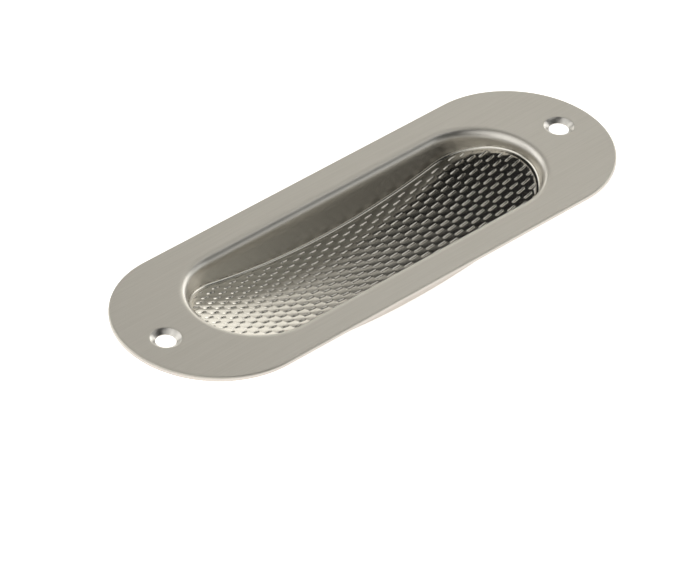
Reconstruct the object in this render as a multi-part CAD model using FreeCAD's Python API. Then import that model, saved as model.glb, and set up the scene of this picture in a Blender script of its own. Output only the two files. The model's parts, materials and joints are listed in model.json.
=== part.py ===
import FreeCAD, Part
import math
import os

# Pocket door flush pull: one blanked and deep-drawn sheet of stainless steel.
# Millimetres. Origin: midpoint between the screw holes, on the back of the flange.
# +X runs along the plate, +Z points out of the door towards the hand.

# Flange
PLATE_LENGTH = 150.0
PLATE_WIDTH = 50.0
SHEET = 1.2
EDGE_BEVEL = 0.35

# Screw holes, countersunk from the face, each this far in from its end of the plate
HOLE_INSET = 9.5
HOLE_DIAMETER = 5.0
SINK_DIAMETER = 7.5
SINK_DEPTH = 1.0

# Recess: inner wall outline, and the depths below the face of the flange
RECESS_LENGTH = 106.0
RECESS_WIDTH = 31.5
MIDDLE_DEPTH = 11.3
END_DEPTH = 3.4
BEND_RADIUS = 1.2
CORNER_RADIUS = 0.7

# Grip relief: staggered columns of ramps, each falling from a step
RAMP_WIDTH = 2.825
RAMP_LENGTH = 2.48
RAMP_RISE = 0.25
STEP_LEAN = 0.05
RELIEF_CLEARANCE = 0.2
RELIEF_GROUND = 0.05
RELIEF_ROOT = 0.4
RELIEF_SHIFT_X = -0.5
RELIEF_SHIFT_Y = -0.6

# Length by which a cutting tool runs past the face that it leaves
OVERRUN = 5.0

# Distance under which two places count as the same
TOUCH = 1e-3


def vector(x, y, z):
    return FreeCAD.Vector(x, y, z)


def stadium(length, width, low, high):
    """Upright prism with straight sides along X and half-round ends."""
    radius = width / 2
    straight = length / 2 - radius
    corners = [vector(x, y, low) for x, y in (
        (-straight, -radius), (straight, -radius), (straight, radius), (-straight, radius))]
    right_tip = vector(length / 2, 0, low)
    left_tip = vector(-length / 2, 0, low)
    edges = [
        Part.makeLine(corners[0], corners[1]),
        Part.Arc(corners[1], right_tip, corners[2]).toShape(),
        Part.makeLine(corners[2], corners[3]),
        Part.Arc(corners[3], left_tip, corners[0]).toShape(),
    ]
    return Part.Face(Part.Wire(edges)).extrude(vector(0, 0, high - low))


def arch_radius():
    """Radius of the floor's arc, through its middle depth and both end depths."""
    half_chord = RECESS_LENGTH / 2
    sagitta = MIDDLE_DEPTH - END_DEPTH
    return (half_chord ** 2 + sagitta ** 2) / (2 * sagitta)


def arch_centre():
    return SHEET - MIDDLE_DEPTH + arch_radius()


def floor_height(x):
    """Height of the smooth floor, which dips towards mid length."""
    return arch_centre() - math.sqrt(arch_radius() ** 2 - x ** 2)


def above_arch(length, width, high, radius):
    """Stadium prism whose foot is the arc about a crosswise axis over the plate."""
    prism = stadium(length, width, SHEET - MIDDLE_DEPTH - OVERRUN, high)
    foot = vector(0, -width, arch_centre())
    barrel = Part.makeCylinder(radius, 2 * width, foot, vector(0, 1, 0))
    return prism.common(barrel)


def flange():
    plate = stadium(PLATE_LENGTH, PLATE_WIDTH, 0, SHEET)
    edges = [edge for edge in plate.Edges if edge.BoundBox.ZMin > SHEET / 2]
    return plate.makeChamfer(EDGE_BEVEL, edges)


def lower_edges(solid):
    """Edges of a cup or cavity where its wall meets the arched foot."""
    limit = solid.BoundBox.ZMax - SHEET / 2
    return [
        edge for edge in solid.Edges
        if edge.BoundBox.ZMax < limit and not is_upright(edge)
    ]


def is_upright(edge):
    box = edge.BoundBox
    return box.XLength < TOUCH and box.YLength < TOUCH


def bend_radius():
    """Inside radius of the bend at the mouth, kept within the wall at the ends."""
    return min(BEND_RADIUS, END_DEPTH - CORNER_RADIUS - SHEET)


def bevel_for(radius):
    """Leg of a bevel whose flat touches the middle of a square corner's arc."""
    return radius * (2 - math.sqrt(2))


def cup():
    """Outside of the drawn cup, one sheet thickness outside the recess.

    The bends on the hidden side are plain bevels, as deep as the arcs they stand for.
    """
    length = RECESS_LENGTH + 2 * SHEET
    width = RECESS_WIDTH + 2 * SHEET
    body = above_arch(length, width, SHEET, arch_radius() + SHEET)
    return body.makeChamfer(bevel_for(CORNER_RADIUS + SHEET), lower_edges(body))


def cavity():
    """The hollow of the recess, with a rounded corner round its floor."""
    hollow = above_arch(RECESS_LENGTH, RECESS_WIDTH, SHEET + OVERRUN, arch_radius())
    return hollow.makeFillet(CORNER_RADIUS, lower_edges(hollow))


def outline_edges(solid, length, width, height):
    """Edges of a stadium outline of this size, lying at this height."""
    straight = (length - width) / 2
    found = []
    for edge in solid.Edges:
        box = edge.BoundBox
        if abs(box.ZMin - height) > TOUCH or abs(box.ZMax - height) > TOUCH:
            continue
        point = edge.valueAt((edge.FirstParameter + edge.LastParameter) / 2)
        reach = math.hypot(max(abs(point.x) - straight, 0), point.y)
        if abs(reach - width / 2) < TOUCH:
            found.append(edge)
    return found


def drawn_sheet():
    """Flange and cup in one, hollowed, with the bend at the mouth."""
    body = flange().fuse(cup()).cut(cavity()).removeSplitter()
    mouth = outline_edges(body, RECESS_LENGTH, RECESS_WIDTH, SHEET)
    body = body.makeFillet(bend_radius() + SHEET, mouth)
    neck_length = RECESS_LENGTH + 2 * SHEET
    neck_width = RECESS_WIDTH + 2 * SHEET
    neck = outline_edges(body, neck_length, neck_width, 0)
    return body.makeChamfer(bevel_for(bend_radius()), neck)


def screw_hole(x):
    """Drill and countersink tools for one screw hole."""
    drill = Part.makeCylinder(HOLE_DIAMETER / 2, SHEET + 2 * OVERRUN, vector(x, 0, -OVERRUN))
    sink = Part.makeCone(
        HOLE_DIAMETER / 2, SINK_DIAMETER / 2, SINK_DEPTH, vector(x, 0, SHEET - SINK_DEPTH))
    return drill.fuse(sink)


def tooth(step):
    """Foot and crest of one step in section; its ramp falls from the crest."""
    return [(step, RELIEF_GROUND), (step + STEP_LEAN, RELIEF_GROUND + RAMP_RISE)]


def relief_column(index):
    """One column of ramps: a saw profile carried along the chord of the arch."""
    left = RELIEF_SHIFT_X + (index - 0.5) * RAMP_WIDTH
    right = left + RAMP_WIDTH
    stagger = RAMP_LENGTH / 2 if index % 2 else 0
    ramps = math.ceil(RECESS_WIDTH / 2 / RAMP_LENGTH) + 1
    first = RELIEF_SHIFT_Y + stagger - ramps * RAMP_LENGTH
    profile = []
    for row in range(2 * ramps):
        profile += tooth(first + row * RAMP_LENGTH)
    last = first + 2 * ramps * RAMP_LENGTH
    profile += [(last, RELIEF_GROUND), (last, -RELIEF_ROOT), (first, -RELIEF_ROOT)]
    base = floor_height(left)
    points = [vector(left, y, base + z) for y, z in profile]
    face = Part.Face(Part.makePolygon(points + points[:1]))
    return face.extrude(vector(RAMP_WIDTH, 0, floor_height(right) - base))


def grip_relief():
    """All the columns, trimmed to the floor inside its rounded corner."""
    margin = CORNER_RADIUS + RELIEF_CLEARANCE
    length = RECESS_LENGTH - 2 * margin
    width = RECESS_WIDTH - 2 * margin
    count = math.ceil((length / 2 + abs(RELIEF_SHIFT_X)) / RAMP_WIDTH)
    columns = [relief_column(index) for index in range(-count, count + 1)]
    field = stadium(length, width, SHEET - MIDDLE_DEPTH - OVERRUN, SHEET)
    trimmed = [column.common(field) for column in columns]
    trimmed = [column for column in trimmed if column.Volume > TOUCH]
    return trimmed[0].multiFuse(trimmed[1:])


def flush_pull():
    body = drawn_sheet()
    reach = PLATE_LENGTH / 2 - HOLE_INSET
    for x in (-reach, reach):
        body = body.cut(screw_hole(x))
    return body.fuse(grip_relief())


def only_solid(shape):
    """The shape as its single solid."""
    solids = shape.Solids
    if len(solids) != 1:
        raise ValueError("the pull should be one solid, not %d" % len(solids))
    return solids[0]


os.makedirs("parts", exist_ok=True)
only_solid(flush_pull()).exportStep("parts/flush_pull.step")
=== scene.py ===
import json
import math

import bmesh
import bpy
from mathutils import Matrix, Vector
from mathutils.geometry import delaunay_2d_cdt


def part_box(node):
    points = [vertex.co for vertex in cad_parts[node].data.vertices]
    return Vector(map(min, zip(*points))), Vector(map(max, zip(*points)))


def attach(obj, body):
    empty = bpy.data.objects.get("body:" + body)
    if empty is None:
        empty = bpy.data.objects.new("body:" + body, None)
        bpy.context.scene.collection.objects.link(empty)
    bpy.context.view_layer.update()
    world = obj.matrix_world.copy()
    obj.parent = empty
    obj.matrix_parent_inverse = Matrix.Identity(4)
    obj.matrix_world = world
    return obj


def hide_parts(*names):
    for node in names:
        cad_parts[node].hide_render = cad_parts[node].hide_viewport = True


# Flush pull, pressed from one sheet of stainless steel. Sizes in this file are in
# millimetres, in the frame's own axes, and are turned to metres when a mesh is made.
MM = 0.001

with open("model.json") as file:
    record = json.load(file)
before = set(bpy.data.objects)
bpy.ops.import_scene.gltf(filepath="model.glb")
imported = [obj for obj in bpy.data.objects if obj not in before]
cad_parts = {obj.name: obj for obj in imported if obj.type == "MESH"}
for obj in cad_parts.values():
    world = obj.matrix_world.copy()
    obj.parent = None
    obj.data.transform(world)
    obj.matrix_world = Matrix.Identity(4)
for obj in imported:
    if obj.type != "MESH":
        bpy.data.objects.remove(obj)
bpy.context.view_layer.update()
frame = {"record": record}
SHEET_NODE = "flush_pull"
LOW, HIGH = [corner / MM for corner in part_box(SHEET_NODE)]
HOLES = next(m for m in frame["record"]["mounts"] if m["name"] == "screw_holes")

# Flange. Its back lies at the origin and its face at the top of the box. The facets of its
# half-round ends make the box a little short, so the length is written out.
PLATE_LENGTH = 150.0
PLATE_WIDTH = HIGH.y - LOW.y
SHEET = HIGH.z
EDGE_ROUND = 0.4
BURR_EASE = 0.1

# Screw holes, countersunk from the face
HOLE_REACH = HOLES["dims"]["spacing_x_mm"] / 2
HOLE_RADIUS = HOLES["dims"]["hole_r_mm"]
SINK_RADIUS = 3.75
SINK_DEPTH = 1.0
SINK_EASE = 0.12

# Recess, with depths from the face to the floor, which lies one sheet above the box's foot
RECESS_LENGTH = 106.0
RECESS_WIDTH = 31.5
FLOOR_DEPTH = -LOW.z
END_DEPTH = 3.4
CORNER_RADIUS = 0.7

# Bend at the mouth: its radius on the underside, the most that the radius inside the recess
# grows by, as a multiple of itself, and the last share of the turn, over which it grows
BEND_RADIUS = 1.2
BEND_GROWTH = 4.9
GROWTH_SHARE = 1 / 3

# Grip relief on the floor: columns of pads, each ending in a short groove. Width is along
# the plate and length is across it.
PAD_WIDTH = 2.825
PAD_LENGTH = 2.48
PAD_HEIGHT = 0.2
PAD_CROWN = 0.03
GROOVE_DEPTH = 0.17
GROOVE_FALL = 0.45
GROOVE_RISE = 0.37

# Shares of the pad's width over which its groove has its full depth, and over which it runs
GROOVE_FULL = 0.72
GROOVE_REACH = 0.92

# Field of the relief: gap to the floor's corner, fade at its edge, and where the pads start
RELIEF_CLEARANCE = 0.42
RELIEF_FADE = 0.25
RELIEF_SHIFT_X = -0.5
RELIEF_SHIFT_Y = -0.42

# Fineness of the mesh
END_STEPS = 96
SIDE_STEPS = 40
BEND_STEPS = 12
GROOVE_STEPS = 4
CROWN_SHARES = (0.25, 0.5, 0.75)
HOLE_STEPS = 72
ARCH_LINE_SPACING = 2.0

# Width of the strip that keeps a flat face's normals true beside a bend, and the distance
# under which two points are one
GUARD = 0.25
WELD = 2e-4
SHARP_ANGLE = math.radians(32)

# Loops of the bend, counted from the flange, that keep the flange's brushed finish
BRUSHED_LOOPS = 5

# Camera, from the outline and the floor of the pull as they are seen
VIEW_AZIMUTH = math.radians(45.749)
VIEW_ELEVATION = math.radians(37.465)
VIEW_ROLL = math.radians(3.384)
VIEW_DISTANCE = 1283.5
VIEW_OFFSET = (6.77, 13.66)
FOCAL_PIXELS = 5351.0
IMAGE_WIDTH = 680
SENSOR = 36.0
VIEW_CLIP = (50.0, 20000.0)


# Outlines: a stadium has straight sides along X and half-round ends

def stadium(straight, radius):
    """Points round a stadium whose straight sides run from -straight to straight."""
    points = []
    for side in (1, -1):
        for step in range(END_STEPS):
            angle = math.pi * (step / END_STEPS - 0.5)
            points.append(Vector((
                side * (straight + radius * math.cos(angle)),
                side * radius * math.sin(angle))))
        for step in range(SIDE_STEPS):
            along = straight * (1 - 2 * step / SIDE_STEPS)
            points.append(Vector((side * along, side * radius)))
    return points


def recess_outline(offset):
    """The recess wall's outline, moved outwards by the offset."""
    radius = RECESS_WIDTH / 2 + offset
    return stadium((RECESS_LENGTH - RECESS_WIDTH) / 2, radius)


def plate_outline(inset):
    radius = PLATE_WIDTH / 2 - inset
    return stadium((PLATE_LENGTH - PLATE_WIDTH) / 2, radius)


def circle(x, radius):
    turns = [math.tau * step / HOLE_STEPS for step in range(HOLE_STEPS)]
    return [Vector((x + radius * math.cos(a), radius * math.sin(a))) for a in turns]


def stadium_reach(x, straight, radius):
    """Half width of a stadium at x, or None outside it."""
    beyond = max(abs(x) - straight, 0)
    if beyond >= radius:
        return None
    return math.sqrt(radius ** 2 - beyond ** 2)


def stadium_half_length(y, straight, radius):
    return straight + math.sqrt(radius ** 2 - y ** 2) if abs(y) < radius else None


def inside_stadium(point, straight, radius):
    return math.hypot(max(abs(point.x) - straight, 0), point.y) < radius


# Arched floor

def arch_radius():
    half_chord = RECESS_LENGTH / 2
    sagitta = FLOOR_DEPTH - END_DEPTH
    return (half_chord ** 2 + sagitta ** 2) / (2 * sagitta)


ARCH_RADIUS = arch_radius()
ARCH_CENTRE = SHEET - FLOOR_DEPTH + ARCH_RADIUS


def arch_height(x, radius):
    return ARCH_CENTRE - math.sqrt(radius ** 2 - x ** 2)


def arch_slope(x, radius):
    return x / math.sqrt(radius ** 2 - x ** 2)


# Grip relief as a height above the smooth floor

RELIEF_INSET = CORNER_RADIUS + RELIEF_CLEARANCE
RELIEF_STRAIGHT = (RECESS_LENGTH - RECESS_WIDTH) / 2
RELIEF_RADIUS = RECESS_WIDTH / 2 - RELIEF_INSET


def column_of(x):
    return round((x - RELIEF_SHIFT_X) / PAD_WIDTH)


def column_centre(column):
    return RELIEF_SHIFT_X + column * PAD_WIDTH


def column_phase(column):
    """Place across the plate of the bottom of a groove in this column."""
    return RELIEF_SHIFT_Y + (PAD_LENGTH / 2 if column % 2 else 0)


def pad_profile(run):
    """Height over the pad's edge at this distance behind the bottom of its groove.

    The pad is slightly crowned. It rounds over into the groove of the next pad and rises
    out of its own.
    """
    if run < GROOVE_RISE:
        return -GROOVE_DEPTH * (1 - math.sin(math.pi / 2 * run / GROOVE_RISE))
    left = PAD_LENGTH - run
    if left < GROOVE_FALL:
        return -GROOVE_DEPTH * (1 - math.sin(math.pi / 2 * left / GROOVE_FALL))
    share = (run - GROOVE_RISE) / (PAD_LENGTH - GROOVE_RISE - GROOVE_FALL)
    return PAD_CROWN * math.sin(math.pi * share) ** 2


def relief_height(x, y):
    """Height over the smooth floor, which falls to nothing at the edge of the relief."""
    column = column_of(x)
    across = 2 * abs(x - column_centre(column)) / PAD_WIDTH
    run = (y - column_phase(column)) % PAD_LENGTH
    taper = min(max((GROOVE_REACH - across) / (GROOVE_REACH - GROOVE_FULL), 0), 1)
    depth = RELIEF_RADIUS - math.hypot(max(abs(x) - RELIEF_STRAIGHT, 0), y)
    presence = min(max(depth / RELIEF_FADE, 0), 1)
    return presence * (PAD_HEIGHT + taper * pad_profile(run))


def groove_runs():
    """Distances behind a groove's bottom at which its column needs a crosswise line."""
    rise = [GROOVE_RISE * step / GROOVE_STEPS for step in range(GROOVE_STEPS + 1)]
    crown_length = PAD_LENGTH - GROOVE_RISE - GROOVE_FALL
    crown = [GROOVE_RISE + crown_length * share for share in CROWN_SHARES]
    falls = [GROOVE_FALL * step / GROOVE_STEPS for step in range(1, GROOVE_STEPS + 1)]
    return rise + crown + [PAD_LENGTH - fall for fall in falls]


def lines_along_columns(columns):
    """Lengthwise lines where the grooves of each column end and where they taper."""
    lines = []
    for column in columns:
        for share in (-GROOVE_REACH, -GROOVE_FULL, 0, GROOVE_FULL, GROOVE_REACH):
            x = column_centre(column) + share * PAD_WIDTH / 2
            reach = stadium_reach(x, RELIEF_STRAIGHT, RELIEF_RADIUS)
            if reach:
                lines.append((Vector((x, -reach)), Vector((x, reach))))
    return lines


def lines_across_column(column):
    """One line across the column at each run of each of its pads."""
    side = GROOVE_REACH * PAD_WIDTH / 2
    left = column_centre(column) - side
    right = column_centre(column) + side
    count = math.ceil(RECESS_WIDTH / 2 / PAD_LENGTH) + 1
    lines = []
    for row in range(-count, count):
        for run in groove_runs():
            y = column_phase(column) + row * PAD_LENGTH + run
            limit = stadium_half_length(y, RELIEF_STRAIGHT, RELIEF_RADIUS)
            if limit and left < limit and right > -limit:
                start = Vector((max(left, -limit), y))
                end = Vector((min(right, limit), y))
                if end.x - start.x > GUARD:
                    lines.append((start, end))
    return lines


def relief_lines():
    count = math.ceil(RECESS_LENGTH / 2 / PAD_WIDTH) + 1
    columns = range(-count, count + 1)
    lines = lines_along_columns(columns)
    for column in columns:
        lines += lines_across_column(column)
    return lines


def arch_lines(straight, radius):
    """Crosswise lines that carry the arch of the plain underside."""
    count = int((straight + radius) / ARCH_LINE_SPACING)
    lines = []
    for step in range(-count, count + 1):
        x = step * ARCH_LINE_SPACING
        reach = stadium_reach(x, straight, radius)
        if reach:
            lines.append((Vector((x, -reach)), Vector((x, reach))))
    return lines


# Sheet as one mesh: flat fields filled between outlines, bends swept round them

def add_loop(mesh, outline, heights):
    """A closed row of vertices, all at one height or each at its own from a list."""
    if not isinstance(heights, list):
        heights = [heights] * len(outline)
    return [mesh.verts.new(MM * Vector((p.x, p.y, z))) for p, z in zip(outline, heights)]


def bridge(mesh, loops, finish):
    """Rows of quads between neighbouring loops."""
    for lower, upper in zip(loops, loops[1:]):
        for here in range(len(lower)):
            there = (here + 1) % len(lower)
            face = mesh.faces.new((lower[here], lower[there], upper[there], upper[here]))
            face.material_index = finish


# Kind of filling that keeps what the outermost outline encloses
INSIDE_OUTLINES = 1


def fill(mesh, outlines, lines, height, finish, keep=None):
    """Triangles over the plan inside the outlines, lifted to the height of each point."""
    points = []
    edges = []
    for outline in outlines:
        first = len(points)
        points += outline
        edges += [(first + i, first + (i + 1) % len(outline)) for i in range(len(outline))]
    for start, end in lines:
        edges.append((len(points), len(points) + 1))
        points += [start, end]
    plan, _, triangles, _, _, _ = delaunay_2d_cdt(points, edges, [], INSIDE_OUTLINES, WELD)
    verts = [mesh.verts.new(MM * Vector((p.x, p.y, height(p)))) for p in plan]
    for triangle in triangles:
        middle = sum((plan[i] for i in triangle), Vector((0, 0))) / 3
        if keep is None or keep(middle):
            face = mesh.faces.new([verts[i] for i in triangle])
            face.material_index = finish


# Finishes by their number in the mesh, in the order in which steel_finishes gives them
BRUSHED, DRAWN, SATIN, TURNED, MILL = range(5)


def outside_holes(point, radius):
    return min(math.hypot(point.x - x, point.y) for x in (-HOLE_REACH, HOLE_REACH)) > radius


def flat_field(mesh, inset, offset, hole_radius, height, finish):
    """One side of the flange, from the plate's edge to the bend and round the holes.

    It starts at this inset from the plate's edge and stops at this offset from the wall.
    """
    recess_straight = (RECESS_LENGTH - RECESS_WIDTH) / 2
    inner = RECESS_WIDTH / 2 + offset
    outlines = [plate_outline(inset), recess_outline(offset)]
    outlines += [circle(x, hole_radius) for x in (-HOLE_REACH, HOLE_REACH)]

    def keep(point):
        in_recess = inside_stadium(point, recess_straight, inner)
        return not in_recess and outside_holes(point, hole_radius)

    fill(mesh, outlines, [], lambda p: height, finish, keep)


def plate_rim(mesh):
    """Guard, rolled edge, side and eased lower edge of the plate."""
    loops = [add_loop(mesh, plate_outline(EDGE_ROUND + GUARD), SHEET)]
    for step in range(BEND_STEPS // 2 + 1):
        turn = math.pi / 2 * step / (BEND_STEPS // 2)
        inset = EDGE_ROUND * (1 - math.sin(turn))
        drop = EDGE_ROUND * (1 - math.cos(turn))
        loops.append(add_loop(mesh, plate_outline(inset), SHEET - drop))
    bridge(mesh, loops, BRUSHED)
    side = [add_loop(mesh, plate_outline(0), z) for z in (SHEET - EDGE_ROUND, BURR_EASE)]
    side.append(add_loop(mesh, plate_outline(BURR_EASE), 0))
    side.append(add_loop(mesh, plate_outline(BURR_EASE + GUARD), 0))
    bridge(mesh, side, MILL)


def bend_places(radius, growth):
    """Distances inwards and down that a bend has gone at each step of its quarter turn.

    Its radius grows late in the turn, which leaves the wall a slight draft.
    """
    inward = drop = 0
    places = [(inward, drop)]
    for step in range(BEND_STEPS):
        start, end = [math.pi / 2 * share / BEND_STEPS for share in (step, step + 1)]
        late = max(1 - (1 - (step + 0.5) / BEND_STEPS) / GROWTH_SHARE, 0)
        local = radius * (1 + growth * late ** 2)
        inward += local * (math.sin(end) - math.sin(start))
        drop += local * (math.cos(start) - math.cos(end))
        places.append((inward, drop))
    return places


def growth_within(radius, room):
    """Growth of the bend's radius, kept so that the bend is no deeper than the room."""
    plain, grown = [bend_places(radius, growth)[-1][1] for growth in (0, BEND_GROWTH)]
    return BEND_GROWTH * min(max((room - plain) / (grown - plain), 0), 1)


def outward_of(outline):
    """Level directions that point squarely out of a recess outline."""
    straight = (RECESS_LENGTH - RECESS_WIDTH) / 2
    cores = [Vector((min(max(p.x, -straight), straight), 0)) for p in outline]
    return [(point - core).normalized() for point, core in zip(outline, cores)]


def bend_loops(mesh, radius, wall_offset, face_height, rooms):
    """Bend from a flat face down to the wall. Returns its loops and the wall's foot."""
    outline = recess_outline(wall_offset + radius)
    outward = outward_of(outline)
    bends = [bend_places(radius, growth_within(radius, room)) for room in rooms]
    loops = [add_loop(mesh, recess_outline(wall_offset + radius + GUARD), face_height)]
    for step in range(BEND_STEPS + 1):
        plan = []
        heights = []
        for point, out, bend in zip(outline, outward, bends):
            inward, drop = bend[step]
            plan.append(point - inward * out)
            heights.append(face_height - drop)
        loops.append(add_loop(mesh, plan, heights))
    return loops, plan


def corner_loops(mesh, radius, foot, arch):
    """Corner between the wall's foot and the arched floor, then a guard on the floor."""
    outward = outward_of(foot)
    loops = []
    for step in range(BEND_STEPS + 2):
        plan = []
        heights = []
        for point, out in zip(foot, outward):
            centre = point - radius * out
            rise = arch_slope(centre.x, arch) * out.x
            tilt = math.atan(rise)
            lift = arch_height(centre.x, arch) + radius / math.cos(tilt)
            turn = (math.pi / 2 - tilt) * min(step / BEND_STEPS, 1)
            place = centre + radius * math.cos(turn) * out
            height = lift - radius * math.sin(turn)
            if step > BEND_STEPS:
                place = place - GUARD / 2 * out
                height = arch_height(place.x, arch)
            plan.append(place)
            heights.append(height)
        loops.append(add_loop(mesh, plan, heights))
    return loops, plan


def cup_side(mesh, bend, wall_offset, face_height, corner, arch, finishes):
    """Bend, wall and corner of one side of the sheet. Returns the floor's outline.

    Only the bend inside the recess grows, by the room that each point of the wall leaves it.
    The finishes are those of the bend's first loops, of the wall and of the corner.
    """
    rooms = [0] * len(recess_outline(0))
    if wall_offset == 0:
        rooms = [face_height - arch_height(p.x, arch) - corner for p in recess_outline(0)]
    loops, foot = bend_loops(mesh, bend, wall_offset, face_height, rooms)
    corner_rows, floor_outline = corner_loops(mesh, corner, foot, arch)
    face_finish, wall_finish, corner_finish = finishes
    bridge(mesh, loops[:BRUSHED_LOOPS + 1], face_finish)
    bridge(mesh, loops[BRUSHED_LOOPS:] + corner_rows[:1], wall_finish)
    bridge(mesh, corner_rows, corner_finish)
    return floor_outline


def floor_field(mesh, outline):
    """Arched floor with the grip relief on it."""
    def height(point):
        return arch_height(point.x, ARCH_RADIUS) + relief_height(point.x, point.y)

    outlines = [outline, stadium(RELIEF_STRAIGHT, RELIEF_RADIUS)]
    fill(mesh, outlines, relief_lines(), height, SATIN)


def foot_field(mesh, outline):
    """Plain underside of the cup."""
    arch = ARCH_RADIUS + SHEET
    straight = (RECESS_LENGTH - RECESS_WIDTH) / 2
    lines = arch_lines(straight, RECESS_WIDTH / 2 - CORNER_RADIUS - GUARD)
    fill(mesh, [outline], lines, lambda p: arch_height(p.x, arch), MILL)


def screw_hole(mesh, x):
    """Eased rim, countersink and short land of one screw hole."""
    rim = [
        (SINK_RADIUS + SINK_EASE + GUARD, SHEET),
        (SINK_RADIUS + SINK_EASE, SHEET),
        (SINK_RADIUS, SHEET - SINK_EASE / 2),
    ]
    bridge(mesh, [add_loop(mesh, circle(x, r), z) for r, z in rim], BRUSHED)
    cone = [
        (SINK_RADIUS, SHEET - SINK_EASE / 2),
        ((SINK_RADIUS + HOLE_RADIUS) / 2, SHEET - SINK_DEPTH / 2),
        (HOLE_RADIUS, SHEET - SINK_DEPTH),
        (HOLE_RADIUS, 0),
        (HOLE_RADIUS + GUARD, 0),
    ]
    bridge(mesh, [add_loop(mesh, circle(x, r), z) for r, z in cone], TURNED)


def pressed_sheet():
    mesh = bmesh.new()
    mouth = BEND_RADIUS + SHEET
    sink_clear = SINK_RADIUS + SINK_EASE + GUARD
    flat_field(mesh, EDGE_ROUND + GUARD, mouth + GUARD, sink_clear, SHEET, BRUSHED)
    flat_field(mesh, BURR_EASE + GUARD, mouth + GUARD, HOLE_RADIUS + GUARD, 0, MILL)
    plate_rim(mesh)
    for x in (-HOLE_REACH, HOLE_REACH):
        screw_hole(mesh, x)
    floor = cup_side(
        mesh, mouth, 0, SHEET, CORNER_RADIUS, ARCH_RADIUS, (BRUSHED, DRAWN, SATIN))
    floor_field(mesh, floor)
    foot = cup_side(
        mesh, BEND_RADIUS, SHEET, 0, CORNER_RADIUS + SHEET, ARCH_RADIUS + SHEET,
        (MILL, MILL, MILL))
    foot_field(mesh, foot)
    bmesh.ops.remove_doubles(mesh, verts=mesh.verts, dist=WELD * MM)
    bmesh.ops.recalc_face_normals(mesh, faces=mesh.faces)
    return mesh


def sheet_object(materials):
    mesh = pressed_sheet()
    data = bpy.data.meshes.new("pressed_pull")
    mesh.to_mesh(data)
    mesh.free()
    for material in materials:
        data.materials.append(material)
    data.shade_smooth()
    data.set_sharp_from_angle(angle=SHARP_ANGLE)
    piece = bpy.data.objects.new("pressed_pull", data)
    bpy.context.scene.collection.objects.link(piece)
    weighted = piece.modifiers.new("even normals", "WEIGHTED_NORMAL")
    weighted.keep_sharp = True
    return piece


# Materials

def linear(hex_colour):
    """Linear RGBA from an sRGB hex value."""
    channels = [int(hex_colour[i:i + 2], 16) / 255 for i in (1, 3, 5)]
    values = [c / 12.92 if c <= 0.04045 else ((c + 0.055) / 1.055) ** 2.4 for c in channels]
    return (*values, 1)


def node(tree, kind, settings=None, inputs=None, links=None):
    """Adds a shader node with its settings, socket values and incoming links."""
    made = tree.nodes.new(kind)
    for name, value in (settings or {}).items():
        setattr(made, name, value)
    for name, value in (inputs or {}).items():
        made.inputs[name].default_value = value
    for name, source in (links or {}).items():
        tree.links.new(source, made.inputs[name])
    return made


def new_material(name):
    material = bpy.data.materials.new(name)
    material.use_nodes = True
    material.node_tree.nodes.clear()
    return material, material.node_tree


# Grain shared by all the finishes: how finely its noise breaks up, and how far its
# roughness strays to either side
GRAIN_DETAIL = 4.0
GRAIN_BREAK = 0.6
ROUGHNESS_STRAY = 0.15


def steel(name, metallic, colours, roughness, spread, streak, depth, contrast):
    """Bare stainless steel with a lengthwise grain between two colours, pale one first.

    The spread, from 0 to 1, is how much further light scatters across the grain than along it.
    The streak's length and width and the depth of the grain are in mm.
    """
    material, tree = new_material(name)
    pale, dark = colours
    streak_length, streak_width = streak
    place = node(tree, "ShaderNodeTexCoord")
    grain_scale = (1 / (streak_length * MM), 1 / (streak_width * MM), 1 / (streak_width * MM))
    mapped = node(
        tree, "ShaderNodeMapping", inputs={"Scale": grain_scale},
        links={"Vector": place.outputs["Object"]})
    grain = node(
        tree, "ShaderNodeTexNoise",
        inputs={"Scale": 1.0, "Detail": GRAIN_DETAIL, "Roughness": GRAIN_BREAK},
        links={"Vector": mapped.outputs["Vector"]})
    tone = node(tree, "ShaderNodeValToRGB", links={"Fac": grain.outputs["Fac"]})
    tone.color_ramp.elements[0].position = 0.5 - contrast
    tone.color_ramp.elements[0].color = linear(dark)
    tone.color_ramp.elements[1].position = 0.5 + contrast
    tone.color_ramp.elements[1].color = linear(pale)
    rough = node(
        tree, "ShaderNodeMapRange",
        inputs={
            "To Min": roughness * (1 - ROUGHNESS_STRAY),
            "To Max": roughness * (1 + ROUGHNESS_STRAY),
        },
        links={"Value": grain.outputs["Fac"]})
    bump = node(
        tree, "ShaderNodeBump", inputs={"Strength": 1.0, "Distance": depth * MM},
        links={"Height": grain.outputs["Fac"]})
    crosswise = node(tree, "ShaderNodeCombineXYZ", inputs={"Y": 1.0})
    shader = node(
        tree, "ShaderNodeBsdfPrincipled", inputs={"Metallic": metallic, "Anisotropic": spread},
        links={
            "Base Color": tone.outputs["Color"],
            "Roughness": rough.outputs["Result"],
            "Normal": bump.outputs["Normal"],
            "Tangent": crosswise.outputs["Vector"],
        })
    node(tree, "ShaderNodeOutputMaterial", links={"Surface": shader.outputs["BSDF"]})
    return material


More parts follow.
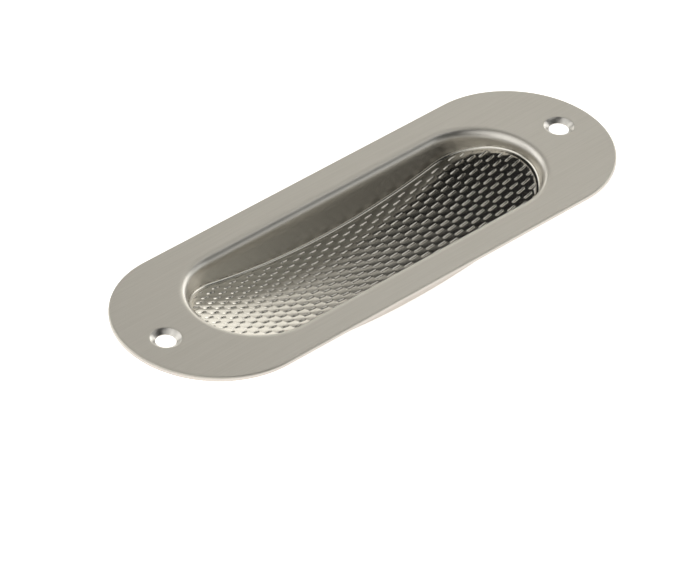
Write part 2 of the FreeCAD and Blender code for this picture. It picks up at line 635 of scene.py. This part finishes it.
def steel_finishes():
    # Brushed stainless steel, ground along the plate with a belt: fine lengthwise hairlines
    # and a broad soft sheen across them. The burrs of the scratches also scatter some of the
    # light in every direction, so its metallic is below 1. Real hairlines are about 0.1 mm
    # wide, and they are drawn 0.35 mm wide so that they show.
    brushed = steel(
        "brushed_stainless_steel", metallic=0.62, colours=("#d7d2c7", "#cbc6ba"),
        roughness=0.46, spread=0.86, streak=(14.0, 0.35), depth=0.004, contrast=0.3)
    # Drawn stainless steel, dulled where the punch stretched the bend and the wall: soft
    # shading that runs from dark at the mouth to grey, with no clear mirror image.
    drawn = steel(
        "drawn_stainless_steel", metallic=1.0, colours=("#c8c4bc", "#c1bdb4"),
        roughness=0.36, spread=0.2, streak=(6.0, 0.5), depth=0.001, contrast=0.4)
    # Satin stainless steel, pressed from smooth sheet: blurred mirror images of what stands
    # round it, so the pads turn from pale to nearly black along the arch.
    satin = steel(
        "satin_pressed_stainless_steel", metallic=1.0, colours=("#c8c4ba", "#c0bcb2"),
        roughness=0.19, spread=0.0, streak=(6.0, 0.5), depth=0.001, contrast=0.4)
    # Turned stainless steel, cut by the countersinking tool: a tight bright glint.
    turned = steel(
        "turned_stainless_steel", metallic=1.0, colours=("#c2bfb8", "#b4b1aa"),
        roughness=0.3, spread=0.0, streak=(0.4, 0.4), depth=0.001, contrast=0.4)
    # Mill-finish stainless steel, rolled and then sheared: even, slightly soft reflections,
    # so the sheared edge takes the white of the paper.
    mill = steel(
        "mill_finish_stainless_steel", metallic=1.0, colours=("#d4cdc5", "#cac3bb"),
        roughness=0.3, spread=0.3, streak=(3.0, 0.6), depth=0.002, contrast=0.4)
    return brushed, drawn, satin, turned, mill


# Stage: a white paper floor, bright low surroundings and softboxes

PAPER_COLOUR = "#f7f6f3"
PAPER_GLOW = 0.7
PAPER_REACH = 2500.0

# Brightness of the room from straight down, 0, to straight up, 1
ROOM_STOPS = ((0.0, 0.52), (0.26, 0.52), (0.45, 0.0), (1.0, 0.0))
ROOM_BLUE = 0.985

WHITE = "#ffffff"
WARM_WHITE = "#fffdf8"
COOL_WHITE = "#f2f7fa"

# Name, azimuth and elevation in degrees, distance and size in mm, brightness and colour.
# The key and one panel stand to the left, the long panels with a soft upper edge behind, and
# a bright low one to the right. A small box overhead lights the grooves, and the other side
# and the front are dim.
SOFTBOXES = (
    ("key_softbox", 172, 38, 900, (900, 600), 1.45, WHITE),
    ("key_top", 140, 68, 900, (600, 500), 1.18, WHITE),
    ("left_panel", 110, 30, 900, (600, 600), 1.75, WHITE),
    ("back_panel", 48, 12, 900, (1100, 450), 1.25, WARM_WHITE),
    ("back_panel_edge", 48, 31, 900, (1100, 160), 0.55, WARM_WHITE),
    ("back_panel_fade", 48, 40, 900, (1100, 130), 0.12, WARM_WHITE),
    ("right_low_panel", 5, 15, 900, (600, 500), 1.8, WHITE),
    ("right_top", -2, 58, 450, (300, 250), 1.0, WHITE),
    ("side_low_panel", -47, 3, 900, (900, 250), 0.39, COOL_WHITE),
    ("side_panel", -38, 21, 900, (500, 330), 0.8, COOL_WHITE),
    ("side_panel_edge", -40, 37, 900, (500, 110), 0.2, COOL_WHITE),
    ("front_low_panel", -145, 15, 900, (600, 500), 0.43, WHITE),
    ("front_panel", -135, 52, 900, (600, 600), 0.91, WHITE),
)


def backdrop_material():
    """White studio paper: it keeps the shadow and never greys towards the camera."""
    material, tree = new_material("white_studio_paper")
    rays = node(tree, "ShaderNodeLightPath")
    mirrored = node(
        tree, "ShaderNodeMath", {"operation": "MAXIMUM"},
        links={0: rays.outputs["Is Glossy Ray"], 1: rays.outputs["Is Transmission Ray"]})
    seen = node(
        tree, "ShaderNodeMath", {"operation": "MAXIMUM"},
        links={0: rays.outputs["Is Camera Ray"], 1: mirrored.outputs[0]})
    strength = node(
        tree, "ShaderNodeMath", {"operation": "MULTIPLY"},
        inputs={1: PAPER_GLOW}, links={0: seen.outputs[0]})
    paper = node(tree, "ShaderNodeBsdfDiffuse", inputs={"Color": linear(PAPER_COLOUR)})
    glow = node(tree, "ShaderNodeEmission", links={"Strength": strength.outputs[0]})
    both = node(
        tree, "ShaderNodeAddShader",
        links={0: paper.outputs["BSDF"], 1: glow.outputs["Emission"]})
    node(tree, "ShaderNodeOutputMaterial", links={"Surface": both.outputs["Shader"]})
    return material


def floor_sheet():
    """The paper that the pull lies on, level with the foot of its cup."""
    half = PAPER_REACH * MM
    data = bpy.data.meshes.new("studio_floor")
    corners = [(-half, -half), (half, -half), (half, half), (-half, half)]
    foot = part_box(SHEET_NODE)[0].z
    data.from_pydata([(x, y, foot) for x, y in corners], [], [(0, 1, 2, 3)])
    data.materials.append(backdrop_material())
    floor = bpy.data.objects.new("studio_floor", data)
    bpy.context.scene.collection.objects.link(floor)


def studio_world():
    """Bright low surroundings under a dark ceiling, as round a white table."""
    world = bpy.data.worlds.new("studio")
    bpy.context.scene.world = world
    world.use_nodes = True
    tree = world.node_tree
    tree.nodes.clear()
    place = node(tree, "ShaderNodeTexCoord")
    parts = node(tree, "ShaderNodeSeparateXYZ", links={"Vector": place.outputs["Generated"]})
    ramp = node(tree, "ShaderNodeValToRGB", links={"Fac": parts.outputs["Z"]})
    elements = ramp.color_ramp.elements
    while len(elements) < len(ROOM_STOPS):
        elements.new(0.5)
    for element, (position, value) in zip(elements, ROOM_STOPS):
        element.position = position
        element.color = (value, value, value * ROOM_BLUE, 1)
    room = node(
        tree, "ShaderNodeBackground", inputs={"Strength": 1.0},
        links={"Color": ramp.outputs["Color"]})
    white = node(
        tree, "ShaderNodeBackground", inputs={"Color": (1, 1, 1, 1), "Strength": 1.0})
    rays = node(tree, "ShaderNodeLightPath")
    mixed = node(
        tree, "ShaderNodeMixShader",
        links={
            "Fac": rays.outputs["Is Camera Ray"],
            1: room.outputs["Background"],
            2: white.outputs["Background"],
        })
    node(tree, "ShaderNodeOutputWorld", links={"Surface": mixed.outputs["Shader"]})


def softbox(name, azimuth, elevation, distance, size, brightness, colour):
    """An area lamp that faces the pull from this direction.

    The brightness is that of its face, where 1 is the white of the backdrop.
    """
    turn, rise = math.radians(azimuth), math.radians(elevation)
    toward = Vector((
        math.cos(turn) * math.cos(rise), math.sin(turn) * math.cos(rise), math.sin(rise)))
    lamp = bpy.data.lights.new(name, "AREA")
    lamp.shape = "RECTANGLE"
    lamp.size, lamp.size_y = size[0] * MM, size[1] * MM
    lamp.color = linear(colour)[:3]
    lamp.energy = brightness * math.pi * lamp.size * lamp.size_y
    box = bpy.data.objects.new(name, lamp)
    box.location = toward * distance * MM
    box.rotation_euler = toward.to_track_quat("Z", "Y").to_euler()
    box.visible_camera = False
    bpy.context.scene.collection.objects.link(box)


def view_camera():
    """The camera in the place from which the outline and floor are seen as they are."""
    turn, rise = VIEW_AZIMUTH, VIEW_ELEVATION
    ahead = Vector((
        math.sin(turn) * math.cos(rise), math.cos(turn) * math.cos(rise), -math.sin(rise)))
    level_right = Vector((math.cos(turn), -math.sin(turn), 0))
    level_up = level_right.cross(ahead)
    right = math.cos(VIEW_ROLL) * level_right + math.sin(VIEW_ROLL) * level_up
    up = math.cos(VIEW_ROLL) * level_up - math.sin(VIEW_ROLL) * level_right
    across, above = VIEW_OFFSET
    place = -(across * right + above * up + VIEW_DISTANCE * ahead) + Vector((0, 0, SHEET))
    data = bpy.data.cameras.new("camera")
    data.sensor_width = SENSOR
    data.lens = FOCAL_PIXELS * SENSOR / IMAGE_WIDTH
    data.clip_start, data.clip_end = [MM * distance for distance in VIEW_CLIP]
    camera = bpy.data.objects.new("camera", data)
    facing = Matrix((right, up, -ahead)).transposed().to_4x4()
    camera.matrix_world = Matrix.Translation(MM * place) @ facing
    bpy.context.scene.collection.objects.link(camera)
    bpy.context.scene.camera = camera


view_camera()
pull = sheet_object(steel_finishes())
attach(pull, "root")
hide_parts(SHEET_NODE)
floor_sheet()
studio_world()
for box in SOFTBOXES:
    softbox(*box)
bpy.context.scene.view_settings.view_transform = "Standard"
